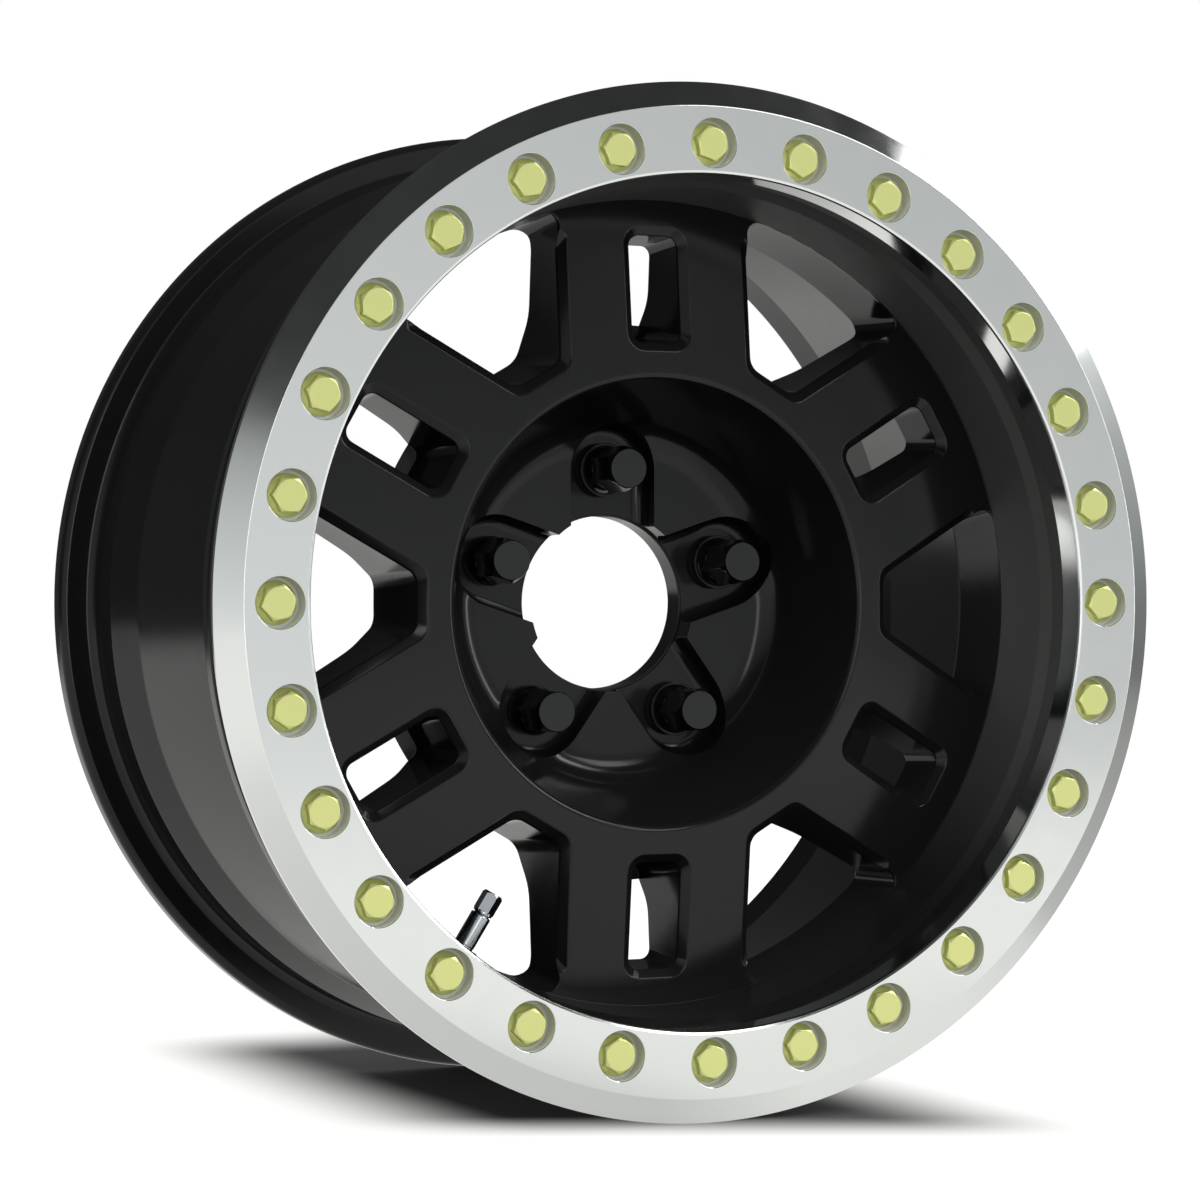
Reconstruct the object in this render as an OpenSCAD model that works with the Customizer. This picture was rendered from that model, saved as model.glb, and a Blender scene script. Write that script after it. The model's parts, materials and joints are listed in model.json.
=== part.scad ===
// Beadlock road wheel: one-piece cast wheel, bolted clamp ring, wheel nuts and a metal tyre valve.
// The wheel axis is Y and the clamp ring faces -Y. Z is up and X is to the right seen from the front.
// The origin is on the axis, midway between the ring face and the back of the rear flange.
// Sizes are in millimetres. Depths, named ..._h, are measured back from the ring face.

/* [Rim] */
// Outside diameter of the clamp ring and of the rear flange
rim_od = 471.4; // [460:0.2:484]
// Width from the ring face to the back of the rear flange
overall_w = 244; // [238:1:256]
// Radial height of the flanges above the tyre bead seats
bead_step = 17.4; // [17:0.1:18]
// Thickness of the barrel wall
barrel_t = 9; // [8:0.5:10]
// Width of the rear flange
flange_w = 12.6; // [11:0.2:15]
// Room for the tyre bead between the ring's lip and the inner flange
bead_room = 24; // [22:0.5:25]
// Step from the ring's edge in to the edge of the inner flange
inner_step = 7.2; // [5:0.2:10]
// Depth of the drop centre below the bead seats
drop_t = 20.3; // [19:0.1:21]

/* [Clamp ring] */
// Radial width of the clamp ring
ring_w = 42.3; // [41.5:0.1:43.5]
// Thickness of the ring where it is bolted down
ring_t = 15; // [14:0.5:16]
// Thickness of the ring's outer clamping lip
ring_lip_t = 10; // [9:0.5:11]
// Radial width of the polished outer chamfer
ring_chamfer_w = 11.6; // [9:0.1:12.4]
// Depth of the polished outer chamfer
ring_chamfer_h = 7.4; // [6:0.1:8]
// Distance of the bolt circle in from the ring's edge
bolt_edge = 28.2; // [27.4:0.1:28.6]
// Number of ring bolts
ring_bolts = 28; // [24:4:32]
// Counterbore diameter for the bolt heads
cbore_d = 22.6; // [21.5:0.1:23]
// Counterbore depth
cbore_h = 7.5; // [7:0.1:8.5]

/* [Ring bolt] */
// Shank diameter of a ring bolt
bolt_d = 9.4; // [9:0.1:10]
// Width across the flats of the bolt head
bolt_af = 14.3; // [13:0.1:15]
// Flange diameter of the bolt head
bolt_flange_d = 19.2; // [17:0.1:20]
// Shank length below the head
bolt_len = 25; // [20:1:28]
// Turn of each bolt head about its own axis in degrees
bolt_turn = 12.86; // [0:0.01:59]

/* [Spokes] */
// Number of spokes
spokes = 6; // [6:1:6]
// Width of a spoke between two windows
spoke_w = 90.4; // [86:0.2:94]
// Depth of the spoke face at the edge of the centre dish
spoke_h = 54.6; // [50:0.2:60]
// Backward slope of the spoke face in degrees
spoke_slope = 5.9; // [4:0.1:8]
// Spoke thickness at the rim end
spoke_t = 26; // [22:0.5:30]
// Radius of the edge of the centre dish
dish_r = 104.8; // [100:0.2:108]
// Radius where the line of the dish wall meets the hub face
dish_foot = 73.2; // [68:0.2:76]
// Radius of the round between the dish wall and the hub face
dish_round = 30; // [8:1:32]
// Distance of a window's inner edge from the axis
window_in = 116.5; // [113:0.5:120]
// Distance of a window's outer wall in from the ring's edge
window_edge = 48; // [47.6:0.1:50]
// Corner radius of the openings
corner_r = 8; // [6:0.5:10]
// Width of the stepped border around the openings
ledge_w = 4; // [3:0.1:5]
// Depth of the stepped border
ledge_t = 3.4; // [2:0.1:4]
// Draft of the opening walls in degrees
draft = 6; // [4:0.5:7]
// Inner end of a spoke slot from the axis
slot_in = 117; // [113:0.5:120]
// Distance of a slot's outer end in from the ring's edge
slot_edge = 60.5; // [59:0.5:64]
// Width of a spoke slot
slot_w = 32.8; // [30:0.2:34]

/* [Hub] */
// Diameter of the centre bore
bore_d = 83; // [78:0.5:84]
// Depth of the hub face in the dish
hub_h = 108; // [104:0.5:112]
// Thickness of the hub behind the wheel nut pockets
pad_t = 13.5; // [12:0.5:15]
// Bolt circle diameter of the wheel nuts
lug_pcd = 127; // [120:0.5:130]
// Number of wheel nuts
lugs = 5; // [5:1:6]
// Diameter of the stud holes
lug_hole_d = 16; // [15:0.5:17]
// Width of the round-ended nut pockets
pocket_w = 43.8; // [41:0.2:45]
// Depth of the nut pockets below the hub face
pocket_t = 13; // [11:0.5:14]
// Radius along the foot of the pocket walls
pocket_round = 5.5; // [3:0.5:6]

/* [Wheel nut] */
// Height of a wheel nut above the pocket floor
nut_h = 31; // [28:0.5:33]
// Width across the flats of a wheel nut
nut_af = 19; // [18:0.1:21]
// Diameter of the bulge at the foot of a wheel nut
nut_bulge_d = 23.8; // [22:0.1:26]
// Diameter of the closed flat end of a wheel nut
nut_end_d = 18; // [16:0.1:19]
// Diameter of the blind stud bore
nut_bore_d = 11.6; // [10:0.1:13]

/* [Valve] */
// Angle of the valve around the wheel, from +X towards +Z
valve_angle = 240; // [238:0.5:242]
// Depth of the valve hole
valve_h = 76.4; // [75:0.2:78]
// Forward tilt of the valve in degrees
valve_tilt = 7.5; // [6:0.5:9]
// Diameter of the valve stem
stem_d = 9.8; // [9:0.1:10.2]
// Length of the valve from its seat to the cap
stem_len = 21.9; // [20:0.1:24]
// Diameter of the valve cap
cap_d = 10.1; // [10:0.1:11.5]
// Length of the valve cap
cap_len = 10.8; // [10:0.1:12]
// Diameter of the valve's base flange
base_d = 17; // [15:0.1:18]

/* [Hidden] */

eps = 0.01;
big = 400;
fit_gap = 0.05;

// Rim and clamp ring
rim_r = rim_od / 2;
bead_r = rim_r - bead_step;
drop_r = bead_r - drop_t;
ring_ir = rim_r - ring_w;
ring_pr = rim_r - bolt_edge;
face_z = overall_w / 2;
rear_h = overall_w;
inner_h = ring_lip_t + bead_room;
inner_t = 8;
well_h = 59;
well_w = 37;
spigot_r = bead_r - 0.1;
ring_edge = 0.6;

// Ring bolts and their sleeves
bolt_gap = 0.5;
bolt_point = 1.2;
bolt_flange_t = 1.1;
bolt_top_d = 13.6;
insert_d = bolt_d + 3;
insert_h = ring_t + 1;
insert_len = bolt_len + cbore_h - insert_h - 1;

// Spokes and openings
window_out = rim_r - window_edge;
slot_out = rim_r - slot_edge;
rim_wall_r = window_out + 0.3;
taper_h = 63.6;
draft_h = 60;
cut_top = 40;
cut_low = 135;
skin_in = dish_r + 3;

// Hub
bore_r = bore_d / 2;
bore_relief = 1;
lug_pr = lug_pcd / 2;
pad_h = hub_h + pocket_t;
back_h = pad_h + pad_t;
seat_t = 4.3;
seat_d = lug_hole_d + 2 * seat_t * tan(30);
seat_gap = 0.4;

// Wheel nut
bulge_t = 5.6;
cone_t = 4;
nut_wall = 6;

// Valve, measured from its seat on the barrel wall
valve_wall = 8;
valve_hole_d = 11.5;
spot_d = 20;
seal_d = base_d - 0.6;
seal_t = 2.2;
base_t = 3;
washer_d = base_d - 0.4;
washer_t = 1.2;
valve_nut_af = 14;
valve_nut_t = 4.6;
neck_d = stem_d - 0.4;
neck_top = 6;
stem_thread_d = stem_d - 1.9;
stem_top = stem_len + 8;
air_bore_d = 2.8;

// Valve core, measured down from the top of the stem
core_bore_d = 5.4;
core_d = core_bore_d - 2 * fit_gap;
core_seal_h = 6.8;
core_ring_t = 2.4;
core_tube_d = 4.2;
core_in_d = 2.6;
core_floor = 12;
core_end = 13;
pin_d = 1;
pin_top = 0.6;
pin_tail = 3;
collar_h = 2.2;
collar_t = 0.7;
cup_d = 3.8;
cup_t = 1.3;
coil_r = 0.95;
wire_r = 0.2;
coil_turns = 6;
coil_steps = 12;

// Height on the turning axis of a depth below the ring face.
function z(h) = face_z - h;

// Depth of the spoke face at radius r.
function spoke_face_h(r) = spoke_h + (r - dish_r) * tan(spoke_slope);

// Radius of the barrel wall behind the windows, which tapers inwards beyond a depth.
function wall_r(h) = window_out - max(0, h - taper_h) * tan(valve_tilt);

function unit(v) = v / norm(v);
function turn(a) = a > 180 ? a - 360 : a < -180 ? a + 360 : a;

// Arc that rounds the corner b between a and c with radius r.
function corner(a, b, c, r) =
  let (
    u = unit(a - b),
    w = unit(c - b),
    half = acos(u * w) / 2,
    t = r / tan(half),
    p = b + u * t,
    q = b + w * t,
    m = b + unit(u + w) * (r / sin(half)),
    a0 = atan2(p[1] - m[1], p[0] - m[0]),
    a1 = atan2(q[1] - m[1], q[0] - m[0]),
    da = turn(a1 - a0),
    n = max(2, ceil(abs(da) / 18))
  )
  [for (i = [0:n]) m + r * [cos(a0 + da * i / n), sin(a0 + da * i / n)]];

// Closed outline from [x, y, corner radius] points.
function rounded(p) =
  [for (i = [0:len(p) - 1])
    let (
      n = len(p),
      a = p[(i + n - 1) % n],
      b = p[i],
      c = p[(i + 1) % n]
    )
    each (b[2] == 0 ? [[b[0], b[1]]] : corner([a[0], a[1]], [b[0], b[1]], [c[0], c[1]], b[2]))];

// Profile points [r, depth, corner radius] turned into [r, height].
function lathe(p) = [for (q = p) [q[0], z(q[1]), q[2]]];

// From the turning frame, with the axis on Z and the front up, to the wheel frame.
module wheel() {
  rotate([90, 0, 0]) children();
}

module ring_places() {
  for (i = [0:ring_bolts - 1])
    rotate(i * 360 / ring_bolts)
      translate([ring_pr, 0, 0]) children();
}

module lug_places() {
  for (i = [0:lugs - 1])
    rotate(90 + i * 360 / lugs)
      translate([lug_pr, 0, 0]) children();
}

// Half-space below y = 0 that leans by a degrees as it goes down.
module lean_y(a) {
  rotate([-a, 0, 0]) translate([-big, -big, -big]) cube([2 * big, big, 2 * big]);
}

// Half-space above x = 0 that leans by a degrees as it goes down.
module lean_x(a) {
  rotate([0, -a, 0]) translate([0, -big, -big]) cube([big, 2 * big, 2 * big]);
}

module casting_body() {
  spoke_end = rim_wall_r - 12;
  web = spoke_end - dish_r;
  barrel_r = drop_r - barrel_t;
  pts = [
    [bore_r + bore_relief, hub_h, 0],
    [dish_foot, hub_h, dish_round],
    [dish_r, spoke_face_h(dish_r), 3],
    [rim_wall_r, spoke_face_h(rim_wall_r), 0],
    [ring_ir - 2.6, ring_t + 16.5, 4],
    [ring_ir + 0.8, ring_t + 10.5, 2],
    [ring_ir + 0.8, ring_t, 0],
    [spigot_r, ring_t, 0],
    [spigot_r, inner_h, 3],
    [rim_r - inner_step, inner_h, 1.5],
    [rim_r - inner_step, inner_h + inner_t, 1.5],
    [bead_r + 2, inner_h + inner_t + 2.5, 4],
    [drop_r, well_h, 6],
    [drop_r, well_h + well_w, 6],
    [drop_r + 5, well_h + well_w + 15, 8],
    [drop_r + 14.5, rear_h - 61, 8],
    [bead_r + 1.4, rear_h - 40.5, 2],
    [bead_r - 1, rear_h - 35, 3],
    [bead_r + 0.5, rear_h - flange_w, 5],
    [rim_r, rear_h - flange_w, 4],
    [rim_r, rear_h, 2.6],
    [bead_r - 4, rear_h, 2],
    [bead_r - barrel_t - 0.7, rear_h - 9, 6],
    [bead_r - barrel_t - 1, rear_h - 41, 2],
    [barrel_r + 14.5, rear_h - 58, 6],
    [barrel_r + 5.6, well_h + well_w + 23, 8],
    [wall_r(91) + 2.4, well_h + well_w + 2, 8],
    [spoke_end, spoke_face_h(spoke_end) + spoke_t, 12],
    [dish_r + 0.54 * web, spoke_face_h(dish_r + 0.54 * web) + spoke_t + 5, 20],
    [dish_r + 0.23 * web, 105, 15],
    [dish_r - 0.8, back_h - 14, 15],
    [dish_r - 16.8, back_h, 4],
    [bore_r, back_h, 1.2],
    [bore_r, pad_h + 0.7, 0],
    [bore_r + bore_relief, pad_h + 0.7, 0]
  ];
  rotate_extrude($fn = 180) polygon(rounded(lathe(pts)));
}

// Outline of a window for a given inset, about the window's own centre line.
module window_outline(inset, end_r, end_round) {
  half = spoke_w / 2 + inset;
  x0 = window_in + inset;
  y0 = (x0 / 2 - half) / cos(30);
  ang = 30 - asin(half / end_r);
  xe = end_r * cos(ang);
  ye = end_r * sin(ang);
  xm = (end_r + 1.5) * cos(ang * 0.72);
  ym = (end_r + 1.5) * sin(ang * 0.72);
  pts = [
    [x0, -y0, corner_r],
    [xe, -ye, end_round],
    [xm, -ym, 0],
    [(end_r + 2) * cos(ang * 0.36), -(end_r + 2) * sin(ang * 0.36), 0],
    [end_r + 2, 0, 0],
    [(end_r + 2) * cos(ang * 0.36), (end_r + 2) * sin(ang * 0.36), 0],
    [xm, ym, 0],
    [xe, ye, end_round],
    [x0, y0, corner_r]
  ];
  polygon(rounded(pts));
}

module window_cut() {
  half = spoke_w / 2 + ledge_w;
  intersection() {
    translate([0, 0, z(cut_low)]) linear_extrude(cut_low - cut_top)
      window_outline(ledge_w, window_out + 0.8, 6);
    rotate(30) translate([0, -half, z(draft_h)]) lean_y(draft);
    mirror([0, 1, 0]) rotate(30) translate([0, -half, z(draft_h)]) lean_y(draft);
    translate([window_in + ledge_w, 0, z(draft_h)]) lean_x(draft);
    rotate_extrude($fn = 180) polygon([
      [bore_r, z(cut_top + 2)],
      [window_out, z(cut_top + 2)],
      [window_out, z(taper_h)],
      [wall_r(cut_low - 1), z(cut_low - 1)],
      [bore_r, z(cut_low - 1)]
    ]);
  }
}

// Shallow skin just below the spoke face, which the stepped borders are cut from.
module skin(outer) {
  rotate_extrude($fn = 180) polygon([
    [skin_in, z(cut_top)],
    [outer, z(cut_top)],
    [outer, z(spoke_face_h(outer) + ledge_t)],
    [skin_in, z(spoke_face_h(skin_in) + ledge_t)]
  ]);
}

module window_ledge() {
  intersection() {
    translate([0, 0, z(2 * cut_top)]) linear_extrude(cut_top + 5) window_outline(0, window_out - 5.7, 4);
    skin(window_out - 10.7);
  }
}

module slot_outline(inset) {
  pts = [
    [slot_in + inset, -(slot_w / 2 - inset), corner_r - inset + 0.5],
    [slot_out - inset, -(slot_w / 2 - inset), corner_r - inset + 0.5],
    [slot_out - inset, slot_w / 2 - inset, corner_r - inset + 0.5],
    [slot_in + inset, slot_w / 2 - inset, corner_r - inset + 0.5]
  ];
  polygon(rounded(pts));
}

module slot_cut() {
  half = slot_w / 2 - ledge_w;
  intersection() {
    translate([0, 0, z(cut_low)]) linear_extrude(cut_low - cut_top) slot_outline(ledge_w);
    translate([0, half, z(draft_h)]) lean_y(draft);
    mirror([0, 1, 0]) translate([0, half, z(draft_h)]) lean_y(draft);
    translate([slot_in + ledge_w, 0, z(draft_h)]) lean_x(draft);
    translate([slot_out - ledge_w, 0, z(draft_h)]) mirror([1, 0, 0]) lean_x(draft);
  }
}

module slot_ledge() {
  intersection() {
    translate([0, 0, z(2 * cut_top)]) linear_extrude(cut_top + 5) slot_outline(0);
    skin(slot_out + 6);
  }
}

// Half section of a nut pocket, from its middle out to the wall.
module pocket_half() {
  rise = pad_h - taper_h;
  polygon(rounded([[0, 0, 0], [pocket_w / 2, 0, pocket_round], [pocket_w / 2, rise, 0], [0, rise, 0]]));
}

module lug_pocket() {
  translate([0, 0, z(pad_h)]) {
    rotate_extrude($fn = 48) pocket_half();
    rotate([90, 0, -90]) linear_extrude(lug_pr) {
      pocket_half();
      mirror([1, 0]) pocket_half();
    }
  }
  translate([0, 0, z(back_h + 1)]) cylinder(d = lug_hole_d, h = pad_t + 2, $fn = 48);
  translate([0, 0, z(pad_h + seat_t)]) lug_cone(0);
}

// Sixty degree nut seat, from the stud hole up to the given distance above the pocket floor.
module lug_cone(up) {
  cylinder(d1 = lug_hole_d, d2 = seat_d + 2 * up * tan(30), h = seat_t + up, $fn = 48);
}

// Seat frame of the valve: Z points along the stem, out of the barrel wall towards the axis.
module valve_place() {
  rotate(valve_angle)
    translate([wall_r(valve_h) + 1, 0, z(valve_h)])
      rotate([0, -(90 - valve_tilt), 0]) children();
}

module wheel_casting() {
  color([0.03, 0.03, 0.03]) wheel() difference() {
    casting_body();
    for (i = [0:spokes - 1]) rotate(i * 360 / spokes) {
      window_cut();
      window_ledge();
      rotate(180 / spokes) slot_cut();
      rotate(180 / spokes) slot_ledge();
    }
    lug_places() lug_pocket();
    ring_places() translate([0, 0, z(insert_h + insert_len + 2)])
      cylinder(d = insert_d, h = insert_len + 20, $fn = 20);
    valve_place() {
      translate([0, 0, -20]) cylinder(d = valve_hole_d, h = 40, $fn = 32);
      cylinder(d = spot_d - 1, h = 12, $fn = 40);
      translate([0, 0, -valve_wall - 14]) cylinder(d = spot_d, h = 14, $fn = 40);
    }
  }
}

module beadlock_ring() {
  color([0.75, 0.77, 0.78]) wheel() difference() {
    rotate_extrude($fn = 180) polygon(rounded(lathe([
      [ring_ir, 1, 0],
      [ring_ir + 1, 0, 0],
      [rim_r - ring_chamfer_w, 0, 0],
      [rim_r, ring_chamfer_h, ring_edge],
      [rim_r, ring_lip_t, ring_edge],
      [spigot_r, ring_lip_t, 1.5],
      [spigot_r, ring_t, 0],
      [ring_ir, ring_t, 0]
    ])));
    ring_places() {
      translate([0, 0, z(cbore_h)]) cylinder(d = cbore_d, h = cbore_h + 1, $fn = 36);
      translate([0, 0, z(ring_t + 1)]) cylinder(d = bolt_d + 2 * bolt_gap, h = ring_t + 1, $fn = 20);
    }
  }
}

module ring_bolt() {
  head = cbore_h - 1;
  cylinder(d = bolt_flange_d, h = bolt_flange_t, $fn = 28);
  translate([0, 0, bolt_flange_t]) cylinder(d1 = bolt_flange_d, d2 = bolt_af, h = 1.2, $fn = 28);
  intersection() {
    rotate(bolt_turn) cylinder(d = bolt_af / cos(30), h = head, $fn = 6);
    cylinder(d1 = bolt_top_d + 2 * head / tan(30), d2 = bolt_top_d, h = head, $fn = 28);
  }
  translate([0, 0, -bolt_len + bolt_point]) cylinder(d = bolt_d, h = bolt_len, $fn = 20);
  translate([0, 0, -bolt_len]) cylinder(d1 = bolt_d - 2 * bolt_point, d2 = bolt_d, h = bolt_point, $fn = 20);
}

module ring_bolts() {
  color([0.77, 0.79, 0.52]) wheel() ring_places() translate([0, 0, z(cbore_h)]) ring_bolt();
}

module thread_inserts() {
  color([0.6, 0.6, 0.62]) wheel() ring_places() translate([0, 0, z(insert_h + insert_len)])
    difference() {
      cylinder(d = insert_d, h = insert_len, $fn = 20);
      translate([0, 0, -1]) cylinder(d = bolt_d + 2 * fit_gap, h = insert_len + 2, $fn = 20);
    }
}

module lug_nut() {
  cone_d = nut_af + 1;
  difference() {
    union() {
      translate([0, 0, -seat_t]) lug_cone(seat_gap);
      translate([0, 0, seat_gap]) cylinder(d = nut_bulge_d, h = bulge_t, $fn = 40);
      translate([0, 0, seat_gap + bulge_t]) cylinder(d1 = nut_bulge_d, d2 = cone_d, h = cone_t, $fn = 40);
      intersection() {
        translate([0, 0, 2]) cylinder(d = nut_af / cos(30), h = nut_h - 2, $fn = 6);
        cylinder(d1 = nut_end_d + 2 * nut_h * tan(24), d2 = nut_end_d, h = nut_h, $fn = 40);
      }
    }
    translate([0, 0, -2 * seat_t]) cylinder(d = nut_bore_d, h = nut_h - nut_wall + 2 * seat_t, $fn = 28);
    translate([0, 0, nut_h - nut_wall]) cylinder(d1 = nut_bore_d, d2 = 2, h = nut_wall / 2, $fn = 28);
  }
}

module lug_nuts() {
  color([0.06, 0.06, 0.06]) wheel() lug_places() translate([0, 0, z(pad_h)]) lug_nut();
}

module valve_stem() {
  color([0.55, 0.57, 0.58]) wheel() valve_place() difference() {
    union() {
      translate([0, 0, -valve_wall - seal_t - base_t]) cylinder(d = base_d, h = base_t, $fn = 40);
      translate([0, 0, -valve_wall - seal_t - eps])
        cylinder(d = neck_d, h = valve_wall + seal_t + neck_top + 1, $fn = 32);
      translate([0, 0, neck_top]) cylinder(d = stem_d, h = stem_len - neck_top - 1, $fn = 40);
      translate([0, 0, stem_len - 1]) cylinder(d1 = stem_d, d2 = stem_thread_d, h = 0.8, $fn = 40);
      translate([0, 0, stem_len - 2]) cylinder(d = stem_thread_d, h = stem_top - stem_len + 2, $fn = 32);
    }
    translate([0, 0, -stem_len]) cylinder(d = air_bore_d, h = 2 * stem_len, $fn = 24);
    translate([0, 0, stem_top - 20]) cylinder(d1 = air_bore_d, d2 = core_bore_d, h = 1.5, $fn = 24);
    translate([0, 0, stem_top - 18.5]) cylinder(d = core_bore_d, h = 20, $fn = 24);
  }
}

module valve_base_seal() {
  color([0.05, 0.05, 0.05]) wheel() valve_place() difference() {
    union() {
      translate([0, 0, -valve_wall - seal_t]) cylinder(d = seal_d, h = seal_t, $fn = 40);
      translate([0, 0, -valve_wall - eps]) cylinder(d = valve_hole_d, h = valve_wall - 1, $fn = 32);
    }
    translate([0, 0, -2 * valve_wall]) cylinder(d = neck_d, h = 3 * valve_wall, $fn = 32);
  }
}

module valve_washer() {
  color([0.6, 0.61, 0.62]) wheel() valve_place() difference() {
    cylinder(d = washer_d, h = washer_t, $fn = 40);
    translate([0, 0, -1]) cylinder(d = stem_d + 0.3, h = washer_t + 2, $fn = 32);
  }
}

module valve_nut() {
  color([0.6, 0.61, 0.62]) wheel() valve_place() translate([0, 0, washer_t]) difference() {
    intersection() {
      cylinder(d = valve_nut_af / cos(30), h = valve_nut_t, $fn = 6);
      cylinder(d1 = valve_nut_af + 1, d2 = valve_nut_af + 1.4, h = valve_nut_t, $fn = 40);
    }
    translate([0, 0, -1]) cylinder(d = neck_d + 2 * fit_gap, h = valve_nut_t + 1.2, $fn = 32);
    translate([0, 0, valve_nut_t - 0.3]) cylinder(d = stem_d + 2 * fit_gap, h = valve_nut_t, $fn = 32);
  }
}

module core_place() {
  wheel() valve_place() translate([0, 0, stem_top]) children();
}

module core_body() {
  color([0.75, 0.6, 0.3]) core_place() difference() {
    union() {
      translate([0, 0, -core_seal_h]) cylinder(d = core_d, h = core_seal_h - 0.8, $fn = 24);
      translate([0, 0, -core_end]) cylinder(d = core_tube_d, h = core_end - core_seal_h + eps, $fn = 24);
    }
    translate([0, 0, -core_floor]) cylinder(d = core_in_d, h = core_floor, $fn = 20);
    translate([0, 0, -core_end - 1]) cylinder(d = pin_d + 0.6, h = core_end - core_floor + 2, $fn = 20);
  }
}

module core_seat_ring() {
  color([0.8, 0.2, 0.15]) core_place() difference() {
    translate([0, 0, -core_seal_h - core_ring_t]) cylinder(d = core_d, h = core_ring_t, $fn = 24);
    translate([0, 0, -core_seal_h - core_ring_t - 1]) cylinder(d = core_tube_d, h = core_ring_t + 2, $fn = 24);
  }
}

module core_pin() {
  color([0.75, 0.6, 0.3]) core_place() {
    translate([0, 0, -core_end - pin_tail]) cylinder(d = pin_d, h = core_end + pin_tail - pin_top, $fn = 16);
    translate([0, 0, -collar_h]) cylinder(d = 2, h = collar_t, $fn = 20);
    translate([0, 0, -core_end - cup_t - collar_t]) cylinder(d = cup_d - 0.2, h = collar_t, $fn = 24);
  }
}

// Rubber cup that closes the lower end of the core.
module core_cup() {
  color([0.06, 0.06, 0.06]) core_place() difference() {
    translate([0, 0, -core_end - cup_t]) cylinder(d = cup_d, h = cup_t, $fn = 24);
    translate([0, 0, -core_end - cup_t - 1]) cylinder(d = pin_d, h = cup_t + 2, $fn = 16);
  }
}

// Point on the wire's surface: a is the angle along the coil, b the angle around the wire.
function wire_point(a, b, rise) =
  let (lead = atan(rise / (2 * PI * coil_r)))
  coil_r * [cos(a), sin(a), 0] + [0, 0, rise * a / 360]
    + wire_r * cos(b) * [cos(a), sin(a), 0]
    + wire_r * sin(b) * [sin(a) * sin(lead), -cos(a) * sin(lead), cos(lead)];

// Coil of the core, between the floor of the core body and the collar of the pin.
module core_spring() {
  rise = (core_floor - collar_h - 2 * wire_r) / coil_turns;
  rings = coil_turns * coil_steps;
  sides = 6;
  points = [for (i = [0:rings]) for (j = [0:sides - 1]) wire_point(i * 360 / coil_steps, j * 60, rise)];
  skin_faces = [for (i = [0:rings - 1]) for (j = [0:sides - 1])
    let (k = i * sides, n = (j + 1) % sides) [k + n, k + sides + n, k + sides + j, k + j]];
  ends = [[for (j = [sides - 1:-1:0]) j], [for (j = [0:sides - 1]) rings * sides + j]];
  color([0.7, 0.7, 0.72]) core_place() translate([0, 0, -core_floor + wire_r])
    polyhedron(points, concat(skin_faces, ends));
}

module valve_cap() {
  color([0.6, 0.62, 0.63]) wheel() valve_place() translate([0, 0, stem_len]) difference() {
    bevel = 1.6;
    union() {
      cylinder(d = cap_d - 0.7, h = 1, $fn = 40);
      translate([0, 0, 0.9]) cylinder(d = cap_d, h = cap_len - bevel - 0.9, $fn = 40);
      translate([0, 0, cap_len - bevel - eps]) cylinder(d1 = cap_d, d2 = cap_d - 1.8, h = bevel + eps, $fn = 40);
    }
    translate([0, 0, -1]) cylinder(d = stem_thread_d + 2 * fit_gap, h = stem_top - stem_len + 1.8, $fn = 32);
  }
}

module cap_seal() {
  color([0.05, 0.05, 0.05]) wheel() valve_place() translate([0, 0, stem_top])
    cylinder(d = stem_thread_d, h = 0.8, $fn = 32);
}

wheel_casting();
beadlock_ring();
ring_bolts();
thread_inserts();
lug_nuts();
valve_stem();
valve_base_seal();
valve_washer();
valve_nut();
core_body();
core_seat_ring();
core_pin();
core_spring();
core_cup();
valve_cap();
cap_seal();
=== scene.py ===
import json
import math

import bpy
from bpy.props import FloatProperty, IntProperty, PointerProperty, StringProperty
from mathutils import Matrix, Vector

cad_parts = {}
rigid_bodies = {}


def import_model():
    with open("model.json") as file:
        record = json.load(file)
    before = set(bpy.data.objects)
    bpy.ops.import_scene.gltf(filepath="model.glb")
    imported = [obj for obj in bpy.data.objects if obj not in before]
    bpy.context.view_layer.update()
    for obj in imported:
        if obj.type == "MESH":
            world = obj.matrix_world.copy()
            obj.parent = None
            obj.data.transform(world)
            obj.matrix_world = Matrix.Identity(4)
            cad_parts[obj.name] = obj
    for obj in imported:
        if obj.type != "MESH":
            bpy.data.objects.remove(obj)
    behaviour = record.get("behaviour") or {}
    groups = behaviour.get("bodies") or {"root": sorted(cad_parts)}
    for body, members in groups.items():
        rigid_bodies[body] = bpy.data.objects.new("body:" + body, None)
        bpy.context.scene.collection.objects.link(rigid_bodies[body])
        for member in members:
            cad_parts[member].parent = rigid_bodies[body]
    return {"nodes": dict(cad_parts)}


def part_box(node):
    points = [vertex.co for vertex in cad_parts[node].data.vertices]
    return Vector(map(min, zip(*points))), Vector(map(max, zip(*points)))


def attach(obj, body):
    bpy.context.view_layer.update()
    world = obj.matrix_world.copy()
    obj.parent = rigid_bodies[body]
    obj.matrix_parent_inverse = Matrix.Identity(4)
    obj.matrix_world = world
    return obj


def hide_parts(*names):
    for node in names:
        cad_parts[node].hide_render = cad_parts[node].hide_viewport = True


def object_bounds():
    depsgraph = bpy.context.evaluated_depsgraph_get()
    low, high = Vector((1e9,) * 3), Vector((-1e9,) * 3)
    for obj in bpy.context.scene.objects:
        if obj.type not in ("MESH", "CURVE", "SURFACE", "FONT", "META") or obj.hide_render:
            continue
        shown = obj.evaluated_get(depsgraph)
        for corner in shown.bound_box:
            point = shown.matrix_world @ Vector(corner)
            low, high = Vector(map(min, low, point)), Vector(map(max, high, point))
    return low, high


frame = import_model()
CAD_BOX = [list(corner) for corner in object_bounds()]

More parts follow.
